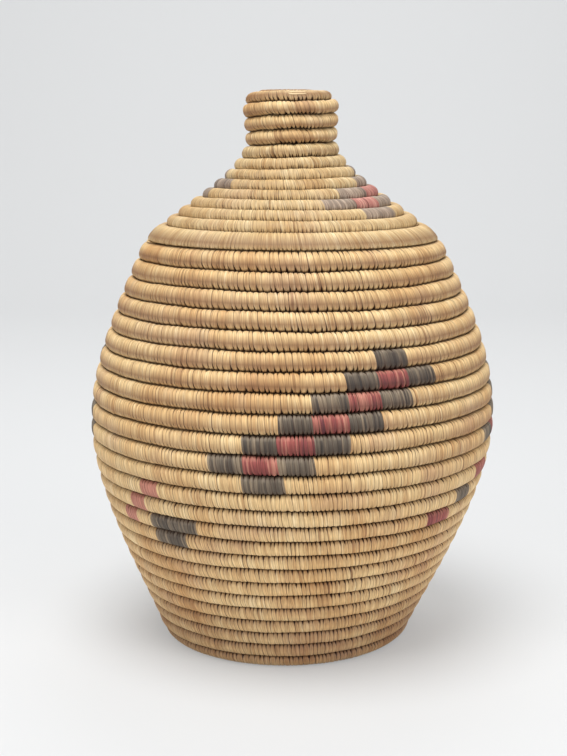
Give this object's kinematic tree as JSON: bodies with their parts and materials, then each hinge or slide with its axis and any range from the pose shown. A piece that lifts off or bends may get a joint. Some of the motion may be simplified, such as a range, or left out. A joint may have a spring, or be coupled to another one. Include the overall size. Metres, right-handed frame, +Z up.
{
  "type": "lidded coiled basket",
  "caption": "Tall egg-shaped coiled grass basket with a narrow necked lid that lifts off, standing on a flat coiled base.",
  "frame": {"origin": "centre of the basket's widest part, on the surface it stands on", "axes": "+Z up along the basket's axis, -Y towards the front that the picture shows, +X to its right"},
  "size_m": [0.2614, 0.2615, 0.353],
  "materials": {
    "straw": "natural strips bound over a grass core, satin where smooth",
    "pale_straw": "paler natural strips bound over a grass core, satin where smooth",
    "dull_straw": "duller natural strips bound over a grass core, matt and a little soiled"
  },
  "bodies": {
    "basket": {"base_coil": "dull_straw", "foot_coil": "dull_straw", "lower_wall_coil": "straw", "belly_coil": "straw", "upper_wall_coil": "straw", "rim_coil": "straw"},
    "lid": {"lid_locating_ring": "dull_straw", "lid_edge_coil": "pale_straw", "lid_shoulder_coil": "pale_straw", "lid_slope_coil": "pale_straw", "lid_neck_coil": "straw", "lid_crown_coil": "straw"}
  },
  "joints": [
    {"name": "lid_lift", "type": "slide", "parent": "basket", "child": "lid", "axis": [0, 0, 1], "range_m": [0, 0.15]}
  ]
}
